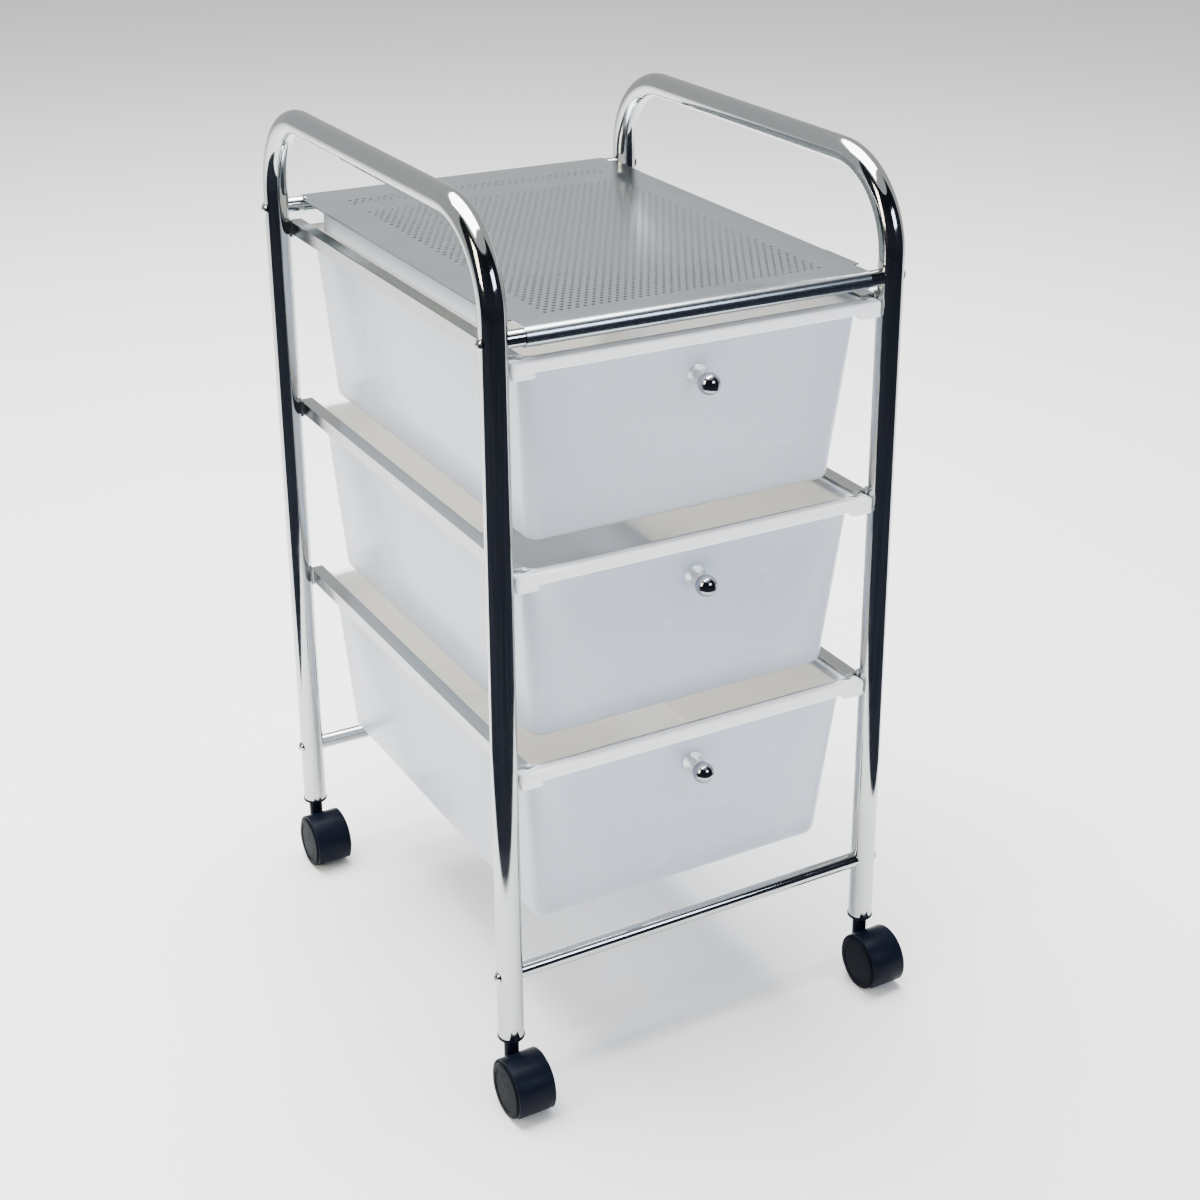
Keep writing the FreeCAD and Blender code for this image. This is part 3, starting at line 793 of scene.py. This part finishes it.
# ---------------------------------------------------------------- drawers
@dataclass
class Drawer:
    """Moulded tub with its rim, front bar and stop tabs, for one level.

    Args:
        top_half: Half the tub's width at its mouth.
        bottom_half: Half its width at the floor.
        top_front: Y of the front wall at the mouth, from the middle of the posts.
        bottom_front: Y of the front wall at the floor.
        top_rear: Y of the rear wall at the mouth.
        bottom_rear: Y of the rear wall at the floor.
        rim_z: Height of the highest drawer's rim.
        depth: Height of the tub.
        wall: Thickness of the walls.
        corner_r: Radius of the upright corners.
        floor_r: Radius round the floor.
        rim_half: Half the width over the rim.
        rim_rear: Y of the rim's rear edge.
        rim_front: Y of the rim's front edge, inside the bar.
        rim_sheet: Thickness of the rim.
        lip: Depth of the lip that slides in the runners.
        lip_wall: Thickness of the lip.
        bar_half: Half the length of the front bar.
        bar_front: Y of the bar's front.
        bar_back: Y of the bar's back.
        bar_height: Height of the bar.
        tab_inner: Where each stop tab begins, from the middle.
        tab_drop: How far the tabs hang below the bar.
        bar_round: Radius of the bar's upright front corners.
        bar_edge: Radius along the bar's front edges.
        tab_edge: Radius of the tabs' edges.
        tab_in_x: How far a tab stands in from the bar's end.
        tab_in_y: How far a tab stands back from the bar's front.
    """

    top_half: float = 134 * MM
    bottom_half: float = 123 * MM
    top_front: float = -190 * MM
    bottom_front: float = -175 * MM
    top_rear: float = 180 * MM
    bottom_rear: float = 173 * MM
    rim_z: float = 565.5 * MM
    depth: float = 138.5 * MM
    wall: float = 2 * MM
    corner_r: float = 11 * MM
    floor_r: float = 5 * MM
    rim_half: float = 143.9 * MM
    rim_rear: float = 187 * MM
    rim_front: float = -195 * MM
    rim_sheet: float = 2 * MM
    lip: float = 5.7 * MM
    lip_wall: float = 1.6 * MM
    bar_half: float = 144.9 * MM
    bar_front: float = -199 * MM
    bar_back: float = -189 * MM
    bar_height: float = 8.5 * MM
    tab_inner: float = 128 * MM
    tab_drop: float = 3.8 * MM
    bar_round: float = 3.0 * MM
    bar_edge: float = 2.3 * MM
    tab_edge: float = 0.9 * MM
    tab_in_x: float = 0.6 * MM
    tab_in_y: float = 0.8 * MM

    @property
    def mouth_middle(self) -> float:
        """Y of the middle of the tub's mouth."""
        return (self.top_rear + self.top_front) / 2

    @property
    def rim_middle(self) -> float:
        """Y of the middle of the rim."""
        return (self.rim_rear + self.rim_front) / 2

    def _tub(self) -> bpy.types.Object:
        """Tapers a block, opens it, rounds it and gives it its walls."""
        floor_z = self.rim_z - self.depth
        tub = block(
            "drawer_tub", (-self.top_half, self.top_front, floor_z),
            (self.top_half, self.top_rear, self.rim_z),
        )
        top_long = self.top_rear - self.top_front
        bottom_long = self.bottom_rear - self.bottom_front
        bottom_middle = (self.bottom_rear + self.bottom_front) / 2
        with shaping(tub):
            pick(tub, Part.FACES, lambda _, normal: normal.z < -0.5)
            bpy.ops.transform.resize(
                value=(self.bottom_half / self.top_half, bottom_long / top_long, 1),
                center_override=(0, self.mouth_middle, floor_z),
            )
            bpy.ops.transform.translate(value=(0, bottom_middle - self.mouth_middle, 0))
            pick(tub, Part.FACES, lambda _, normal: normal.z > 0.5)
            bpy.ops.mesh.delete(type="ONLY_FACE")
            pick(tub, Part.EDGES, lambda _, along: abs(along.z) > 0.5)
            bpy.ops.mesh.bevel(offset=self.corner_r, segments=10, affect="EDGES")
            pick(tub, Part.EDGES, lambda at, _: at.z < floor_z + SLACK)
            bpy.ops.mesh.bevel(offset=self.floor_r, segments=5, affect="EDGES")
        tidy_normals(tub)
        modify(tub, "SOLIDIFY", thickness=self.wall, offset=-1.0, use_even_offset=True)
        with shaping(tub):
            pick(tub, Part.VERTS, lambda at, _: at.z > self.rim_z - SLACK)
            bpy.ops.transform.resize(value=(1, 1, 0), center_override=(0, 0, self.rim_z))
        return tub

    def _add_rim(self, tub: bpy.types.Object) -> None:
        """Draws the rim out of the top of the walls, and its lip down from the rim."""
        under = self.rim_z - self.rim_sheet
        rim_long = self.rim_rear - self.rim_front
        shrink = 1 - self.lip_wall / self.rim_half
        with shaping(tub):
            bpy.ops.mesh.select_all(action="SELECT")
            bpy.ops.mesh.bisect(plane_co=(0, 0, under), plane_no=(0, 0, 1))
            pick(tub, Part.FACES, self._is_outer_band)
            bpy.ops.mesh.extrude_region_move()
            bpy.ops.transform.resize(
                value=(
                    self.rim_half * shrink / self.top_half,
                    rim_long * shrink / (self.top_rear - self.top_front), 1,
                ),
                center_override=(0, self.mouth_middle, self.rim_z),
            )
            bpy.ops.transform.translate(value=(0, self.rim_middle - self.mouth_middle, 0))
            bpy.ops.mesh.extrude_region_move()
            bpy.ops.transform.resize(
                value=(1 / shrink, 1 / shrink, 1),
                center_override=(0, self.rim_middle, self.rim_z),
            )
            pick(tub, Part.FACES, self._is_under_lip)
            draw_out((0, 0, self.rim_sheet - self.lip))

    def _is_outer_band(self, at: Vector, normal: Vector) -> bool:
        """Whether a face is part of the walls' outer side just under the mouth."""
        outward = (at - Vector((0, self.mouth_middle, at.z))).dot(normal) > 0
        return at.z > self.rim_z - self.rim_sheet and abs(normal.z) < 0.5 and outward

    def _is_under_lip(self, at: Vector, normal: Vector) -> bool:
        """Whether a face is in the narrow ring under the rim's outer edge."""
        under = abs(at.z - (self.rim_z - self.rim_sheet)) < SLACK and normal.z < -0.9
        rim_long_half = (self.rim_rear - self.rim_front) / 2
        x_share = abs(at.x) / self.rim_half
        y_share = abs(at.y - self.rim_middle) / rim_long_half
        return under and max(x_share, y_share) > 1 - 0.75 * self.lip_wall / self.rim_half

    def _bar(self) -> bpy.types.Object:
        """Thick rounded bar across the front."""
        bar = block(
            "drawer_bar", (-self.bar_half, self.bar_front, self.rim_z - self.bar_height),
            (self.bar_half, self.bar_back, self.rim_z),
        )
        with shaping(bar):
            pick(
                bar, Part.EDGES,
                lambda at, along: abs(along.z) > 0.9 and at.y < (self.bar_front + self.bar_back) / 2,
            )
            bpy.ops.mesh.bevel(offset=self.bar_round, segments=5, affect="EDGES")
            pick(
                bar, Part.EDGES,
                lambda at, along: abs(along.z) < 0.1 and at.y < self.bar_back - SLACK,
            )
            bpy.ops.mesh.bevel(offset=self.bar_edge, segments=5, affect="EDGES")
        return bar

    def _tab(self, side: Side) -> bpy.types.Object:
        """Stop tab under one end of the bar."""
        tab_outer = self.bar_half - self.tab_in_x
        low, high = sorted((side.value * self.tab_inner, side.value * tab_outer))
        bottom = self.rim_z - self.bar_height - self.tab_drop
        tab = block(
            "drawer_tab", (low, self.bar_front + self.tab_in_y, bottom),
            (high, self.bar_back, bottom + 2 * self.tab_drop),
        )
        with shaping(tab):
            pick(tab, Part.EDGES, lambda at, _: at.z < bottom + 3 * self.tab_drop)
            bpy.ops.mesh.bevel(offset=self.tab_edge, segments=3, affect="EDGES")
        return tab

    def build(self) -> bpy.types.Object:
        """Makes the highest drawer about the middle of the cart."""
        tub = self._tub()
        self._add_rim(tub)
        thick = [self._bar(), *(self._tab(side) for side in Side)]
        # Painted shade on the walls and painted light on the bar, tabs and rim: one plastic in a
        # darker and a lighter colour.
        THIN_PLASTIC_SHADED.dress(tub)
        THICK_PLASTIC_LIT.dress(*thick)
        drawer = join("drawer_top_moulding", [tub, *thick])
        self._whiten_rim(drawer)
        drawer.data.transform(Matrix.Translation((0, MIDDLE_Y, 0)))
        smooth(drawer, 30)
        return drawer

    def _whiten_rim(self, drawer: bpy.types.Object) -> None:
        """Gives the rim and its lip the thick plastic's finish, whose lighter colour is painted light.
        """
        thick = drawer.data.materials.find(THICK_PLASTIC_LIT.title)
        for face in drawer.data.polygons:
            across = abs(face.center.x) > self.top_half + 2 * SLACK
            along = not self.top_front - 2 * SLACK < face.center.y < self.top_rear + 2 * SLACK
            if face.center.z > self.rim_z - self.lip - SLACK and (across or along):
                face.material_index = thick

    def place(self) -> None:
        """Builds the highest drawer, copies it down, and sets each on its slide."""
        first = self.build()
        for level in Level:
            piece = on_level(first, f"drawer_{level.word}_moulding", level)
            fit(piece, f"drawer_{level.word}", f"drawer_tub_{level.word}")


@dataclass
class Knob:
    """Ball knob on a clear tapered collar, standing out of the sloping front wall.

    Args:
        seat_y: Y of the wall where the knob's axis crosses it, from the posts' middle.
        seat_z: Height of that point on the highest drawer.
        tilt_deg: How far the axis points down from level.
        ball_r: Radius of the ball.
        ball_out: Distance from the wall to the ball's centre.
        base_r: Radius of the collar at the wall.
        tip_r: Radius of the collar at the ball.
        collar: Length of the collar.
        flat_share: Where the ball's flat is, as a share of its radius from the centre.
        cup_wall: Thickness left round the hollow that takes the ball.
        cup_depth: Depth of that hollow.
        foot_round: Radius of the collar's edge at the wall.
        around: Facets round the knob.
    """

    seat_y: float = -186.3 * MM
    seat_z: float = 531.3 * MM
    tilt_deg: float = 6.18
    ball_r: float = 8 * MM
    ball_out: float = 16.4 * MM
    base_r: float = 8 * MM
    tip_r: float = 6 * MM
    collar: float = 11 * MM
    flat_share: float = 0.93
    cup_wall: float = 0.8 * MM
    cup_depth: float = 1.8 * MM
    foot_round: float = 0.6 * MM
    around: int = 48

    def _stand(self) -> Matrix:
        """What stands a shape made along +Z out of the highest drawer's front."""
        turn = Matrix.Rotation(math.radians(90 + self.tilt_deg), 4, "X")
        return Matrix.Translation((0, MIDDLE_Y + self.seat_y, self.seat_z)) @ turn

    def _ball(self) -> bpy.types.Object:
        """Ball with a small flat where it meets its collar."""
        ball = start(
            "knob_ball", bpy.ops.mesh.primitive_uv_sphere_add,
            segments=self.around, ring_count=self.around // 2, radius=self.ball_r,
            location=(0, 0, self.ball_out),
        )
        with shaping(ball):
            bpy.ops.mesh.select_all(action="SELECT")
            bpy.ops.mesh.bisect(
                plane_co=(0, 0, self.ball_out - self.flat_share * self.ball_r), plane_no=(0, 0, 1),
                use_fill=True, clear_inner=True,
            )
        return ball

    def _collar(self) -> bpy.types.Object:
        """Tapered collar, rounded at the wall and hollowed to take the ball."""
        collar = start(
            "knob_collar", bpy.ops.mesh.primitive_cone_add, vertices=self.around,
            radius1=self.base_r, radius2=self.tip_r, depth=self.collar,
            location=(0, 0, self.collar / 2),
        )
        with shaping(collar):
            pick(collar, Part.FACES, lambda _, normal: normal.z > 0.9)
            bpy.ops.mesh.inset(thickness=self.cup_wall)
            draw_out((0, 0, -self.cup_depth))
            pick(collar, Part.EDGES, lambda at, _: at.z < TOUCH)
            bpy.ops.mesh.bevel(offset=self.foot_round, segments=3, affect="EDGES")
        return collar

    def place(self) -> None:
        """Builds the knob once and stands a copy on each drawer."""
        for shape, finish in ((self._ball(), KNOB_CHROME), (self._collar(), CLEAR_COLLAR)):
            shape.data.transform(self._stand())
            smooth(shape)
            finish.dress(shape)
            node = shape.name
            for level in Level:
                piece = on_level(shape, f"{node}_piece_{level.word}", level)
                fit(piece, f"drawer_{level.word}", f"{node}_{level.word}")


# ---------------------------------------------------------------- casters
@dataclass
class Caster:
    """Hood and two wheels of a twin-wheel caster.

    Args:
        post_x: Distance of the swivel's axis from the middle.
        post_y: Distance of the swivel's axis from the middle of the posts.
        trail: From the swivel's axis forward to the axle.
        wheel_r: Radius of a wheel.
        wheel_inner: Inner face of a wheel, from the caster's middle.
        wheel_outer: Outer face of a wheel, from the caster's middle.
        hood_r: Outside radius of the hood.
        hood_half: Half the hood's width.
        hood_wall: Thickness of the hood's shell.
        web_half: Half the thickness of the rib between the wheels.
        cut_z: Height of the hood's open lower edge.
        neck_r: Radius of the neck.
        neck_top: Height of the neck's top.
        hood_edge: Radius of the hood's outer edges.
        neck_edge: Radius of the neck's upper edge.
        tread_edge: Radius between a wheel's tread and its outer face.
        inner_edge: Radius between its tread and its inner face.
        disc_edge: Width of the plain ring round its disc.
        groove: Width and depth of the groove round its disc.
        dome_ring: Width of the rising part of its disc.
        dome_rise: How far the disc rises.
        around: Facets round the hood and the wheels.
    """

    post_x: float = POST_X
    post_y: float = POST_Y
    trail: float = 20 * MM
    wheel_r: float = 21 * MM
    wheel_inner: float = 4.7 * MM
    wheel_outer: float = 16 * MM
    hood_r: float = 23 * MM
    hood_half: float = 14.5 * MM
    hood_wall: float = 1.4 * MM
    web_half: float = 4.3 * MM
    cut_z: float = 8.5 * MM
    neck_r: float = 5.5 * MM
    neck_top: float = 49.7 * MM
    hood_edge: float = 0.7 * MM
    neck_edge: float = 0.8 * MM
    tread_edge: float = 2.2 * MM
    inner_edge: float = 1.0 * MM
    disc_edge: float = 2.8 * MM
    groove: float = 0.5 * MM
    dome_ring: float = 6.0 * MM
    dome_rise: float = 0.3 * MM
    around: int = 72

    def _hood(self) -> bpy.types.Object:
        """Hollows both sides of a drum, cuts it open below and adds its neck."""
        hood = start(
            "caster_hood_shell", bpy.ops.mesh.primitive_cylinder_add, vertices=self.around,
            radius=self.hood_r, depth=2 * self.hood_half,
            location=(0, -self.trail, self.wheel_r), rotation=(0, math.pi / 2, 0),
        )
        with shaping(hood):
            pick(hood, Part.EDGES, lambda at, _: abs(abs(at.x) - self.hood_half) < TOUCH)
            bpy.ops.mesh.bevel(offset=self.hood_edge, segments=3, affect="EDGES")
            for side in Side:
                pick(hood, Part.FACES, lambda _, normal: normal.x * side.value > 0.99)
                bpy.ops.mesh.inset(thickness=self.hood_wall - self.hood_edge)
                draw_out((-side.value * (self.hood_half - self.web_half), 0, 0))
            bpy.ops.mesh.select_all(action="SELECT")
            bpy.ops.mesh.bisect(
                plane_co=(0, 0, self.cut_z), plane_no=(0, 0, 1), use_fill=True, clear_inner=True
            )
        neck = start(
            "caster_neck", bpy.ops.mesh.primitive_cylinder_add, vertices=40,
            radius=self.neck_r, depth=self.neck_top - self.wheel_r,
            location=(0, 0, (self.neck_top + self.wheel_r) / 2),
        )
        with shaping(neck):
            pick(neck, Part.EDGES, lambda at, _: at.z > self.neck_top - TOUCH)
            bpy.ops.mesh.bevel(offset=self.neck_edge, segments=3, affect="EDGES")
        self._clear_wheels(neck)
        hood = join("caster_hood_shell", [hood, neck])
        smooth(hood)
        return hood

    def _clear_wheels(self, neck: bpy.types.Object) -> None:
        """Cuts the neck back where the wheels turn beside the rib."""
        for side in Side:
            middle = side.value * (self.web_half + self.hood_half) / 2
            tool = start(
                "wheel_space", bpy.ops.mesh.primitive_cylinder_add, vertices=self.around,
                radius=self.hood_r - self.hood_wall, depth=self.hood_half - self.web_half,
                location=(middle, -self.trail, self.wheel_r), rotation=(0, math.pi / 2, 0),
            )
            modify(neck, "BOOLEAN", operation="DIFFERENCE", solver="EXACT", object=tool)
            bpy.data.objects.remove(tool)

    def _wheel(self) -> bpy.types.Object:
        """Right-hand wheel: rounded tread edges and a shallow domed outer face."""
        wheel = start(
            "caster_wheel_body", bpy.ops.mesh.primitive_cylinder_add, vertices=self.around,
            radius=self.wheel_r, depth=self.wheel_outer - self.wheel_inner,
            location=((self.wheel_inner + self.wheel_outer) / 2, -self.trail, self.wheel_r),
            rotation=(0, math.pi / 2, 0),
        )
        with shaping(wheel):
            pick(wheel, Part.EDGES, lambda at, _: at.x > self.wheel_outer - TOUCH)
            bpy.ops.mesh.bevel(offset=self.tread_edge, segments=5, affect="EDGES")
            pick(wheel, Part.EDGES, lambda at, _: at.x < self.wheel_inner + TOUCH)
            bpy.ops.mesh.bevel(offset=self.inner_edge, segments=3, affect="EDGES")
            pick(wheel, Part.FACES, lambda _, normal: normal.x > 0.99)
            bpy.ops.mesh.inset(thickness=self.disc_edge)
            bpy.ops.mesh.inset(thickness=self.groove, depth=-self.groove)
            bpy.ops.mesh.inset(thickness=self.dome_ring, depth=self.dome_rise)
        smooth(wheel)
        return wheel

    def place(self) -> None:
        """Builds one hood and one wheel and sets copies under every post."""
        hood, wheel = self._hood(), self._wheel()
        NYLON_HOOD.dress(hood)
        NYLON_WHEEL.dress(wheel)
        for end in End:
            for side in Side:
                corner = f"{end.word}_{side.word}"
                under_post = Matrix.Translation(
                    (side.value * self.post_x, MIDDLE_Y + end.value * self.post_y, 0)
                )
                body = f"caster_{corner}"
                piece = moved_copy(hood, f"caster_hood_piece_{corner}", under_post)
                fit(piece, body, f"caster_hood_{corner}")
                for hand in Side:
                    mirror = Matrix.Scale(hand.value, 4, Vector((1, 0, 0)))
                    node = f"caster_wheel_{corner}_{hand.word}"
                    piece = moved_copy(wheel, f"wheel_piece_{corner}_{hand.word}", under_post @ mirror)
                    fit(piece, f"wheel_{corner}_{hand.word}", node)
        for pattern in (hood, wheel):
            bpy.data.objects.remove(pattern)


# ---------------------------------------------------------------- carried-over nodes
@dataclass
class CarriedOver:
    """Frame nodes whose shape is right as it is and only need their finish."""

    def finish_for(self, node: str) -> Finish | None:
        """The finish of a node by its name, or nothing where a new piece stands for it."""
        starts = {
            "crossbar_thread": TURNED_STEEL,
            "crossbar_screws": BRIGHT_SCREW,
            "crossbar": CHROME_TUBE,
            "runner": CHROME_CHANNEL,
            "knob_screw": BRIGHT_SCREW,
            "caster_socket": NYLON_HOOD,
            "caster_stem": TURNED_STEEL,
            "caster_axle": TURNED_STEEL,
            "stem_grip": TURNED_STEEL,
        }
        return next((finish for word, finish in starts.items() if node.startswith(word)), None)

    def place(self) -> None:
        """Dresses every node that is still shown."""
        for name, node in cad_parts.items():
            finish = self.finish_for(name)
            if finish is not None:
                finish.dress(node)
                LOG.info("%s: keeps its shape, %s", name, finish.title)


# ---------------------------------------------------------------- studio
@dataclass
class Studio:
    """Floor, lights and camera.

    Args:
        eye: Camera position.
        azimuth_deg: Direction the camera looks from, round from the front.
        elevation_deg: How far it looks down.
        roll_deg: Its roll.
        lens_mm: Focal length on the sensor.
        sensor_mm: Sensor width.
        shift: Lens shift along the image's width and height.
        island: Radius of the bright paper round the cart.
        dark_far: How far out the dark cloth goes.
        dark_high: How high its far side hangs.
        dark_half_deg: How far round it goes to each side.
        dark_turn_deg: How far its middle is turned from the camera's direction.
        paper_size: Length of the floor's sides.
        cloth_lift: How far the cloth lies above the floor.
        sky_colour: Colour of the pale surroundings.
        sky_strength: Brightness of the pale surroundings.
    """

    eye: tuple[float, float, float] = (-0.68999, -1.30603, 0.99093)
    azimuth_deg: float = -31.54
    elevation_deg: float = 21.93
    roll_deg: float = 0.8217
    lens_mm: float = 61.935
    sensor_mm: float = 36.0
    shift: tuple[float, float] = (-0.08719, -0.10199)
    island: float = 0.52
    dark_far: float = 3.4
    dark_high: float = 5.0
    dark_half_deg: float = 98.0
    dark_turn_deg: float = 12.0
    paper_size: float = 14.0
    cloth_lift: float = 2 * MM
    sky_colour: str = "#f5f6f7"
    sky_strength: float = 0.75

    def camera(self) -> None:
        """Sets up the camera and makes it the scene's."""
        azimuth, elevation = math.radians(self.azimuth_deg), math.radians(self.elevation_deg)
        back = Vector((
            math.sin(azimuth) * math.cos(elevation),
            -math.cos(azimuth) * math.cos(elevation),
            math.sin(elevation),
        ))
        right = Vector((0, 0, 1)).cross(back).normalized()
        up = back.cross(right)
        level = Matrix((right, up, back)).transposed()
        turn = level @ Matrix.Rotation(math.radians(self.roll_deg), 3, "Z")
        data = bpy.data.cameras.new("camera")
        data.lens = self.lens_mm
        data.sensor_width = self.sensor_mm
        data.shift_x, data.shift_y = self.shift
        data.clip_start = 0.01
        camera = bpy.data.objects.new("camera", data)
        bpy.context.scene.collection.objects.link(camera)
        camera.matrix_world = Matrix.Translation(self.eye) @ turn.to_4x4()
        bpy.context.scene.camera = camera

    def floor(self) -> None:
        """Lays the pale paper floor."""
        paper = start("studio_floor", bpy.ops.mesh.primitive_plane_add, size=self.paper_size)
        STUDIO_PAPER.dress(paper)

    def flags(self) -> None:
        """Hangs dark cloth round the front of the cart that only shows in reflections.

        The paper stays bright for a short way round the casters, so upright tubes are
        pale at their feet and dark above, with pale edges.
        """
        azimuth = math.radians(self.azimuth_deg + self.dark_turn_deg)
        toward = Vector((math.sin(azimuth), -math.cos(azimuth), 0))
        reach = self.dark_far / self.island
        narrow = math.cos(math.radians(self.dark_half_deg))
        flag = start(
            "studio_flag", bpy.ops.mesh.primitive_circle_add, vertices=96, radius=self.island,
        )
        with shaping(flag):
            pick(flag, Part.VERTS, lambda at, _: at.normalized().dot(toward) < narrow)
            bpy.ops.mesh.delete(type="VERT")
            bpy.ops.mesh.select_all(action="SELECT")
            bpy.ops.transform.translate(value=(0, 0, self.cloth_lift))
            bpy.ops.mesh.extrude_region_move()
            bpy.ops.transform.resize(value=(reach, reach, 1), center_override=(0, 0, 0))
            draw_out((0, 0, self.dark_high))
        # The cloth's dark colour and its paler patches are painted reflections on the chrome; the
        # cloth is hidden from the camera, diffuse light and shadows.
        REFLECTION_CLOTH.dress(flag)
        flag.visible_camera = False
        flag.visible_diffuse = False
        flag.visible_shadow = False
        flag.visible_transmission = False

    def _softbox(
        self, name: str, place: tuple[float, float, float], target: tuple[float, float, float],
        size: tuple[float, float], watts: float, colour: str = "#ffffff",
    ) -> None:
        """Adds a rectangular soft light.

        Args:
            name: Name of the light.
            place: Where it hangs.
            target: What it points at.
            size: Its width and height.
            watts: Its power.
            colour: Its sRGB colour.
        """
        data = bpy.data.lights.new(name, "AREA")
        data.color = linear(colour)[:3]
        data.shape = "RECTANGLE"
        data.size, data.size_y = size
        data.energy = watts
        light = bpy.data.objects.new(name, data)
        bpy.context.scene.collection.objects.link(light)
        aim = Vector(target) - Vector(place)
        light.location = place
        light.rotation_euler = aim.to_track_quat("-Z", "Y").to_euler()

    def lights(self) -> None:
        """Hangs the softboxes and lights the pale surroundings."""
        self._softbox("soft_left", (-2.2, -0.5, 1.5), (0, 0, 0.35), (0.6, 1.4), 36, "#fff0d8")
        self._softbox("soft_front", (0.9, -2.6, 1.9), (0, 0, 0.3), (1.2, 0.9), 34, "#dbe8fb")
        self._softbox("soft_top", (-0.1, 0.5, 2.6), (0, 0.1, 0.3), (2.2, 2.2), 300)
        world = bpy.data.worlds.new("studio")
        bpy.context.scene.world = world
        world.use_nodes = True
        sky = world.node_tree.nodes["Background"]
        sky.inputs["Color"].default_value = linear(self.sky_colour)
        sky.inputs["Strength"].default_value = self.sky_strength

    def place(self) -> None:
        """Sets up the whole studio."""
        self.floor()
        self.flags()
        self.lights()
        self.camera()
        LOG.info("studio: floor, flag, three softboxes and the camera")


def main() -> None:
    """Builds every piece in order."""
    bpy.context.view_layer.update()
    for side in Side:
        SideFrame(side).place()
    PerforatedTray().place()
    Drawer().place()
    Knob().place()
    Caster().place()
    CarriedOver().place()
    Studio().place()


if __name__ == "__main__":
    logging.basicConfig(level=logging.INFO, format="%(name)s: %(message)s")
    main()
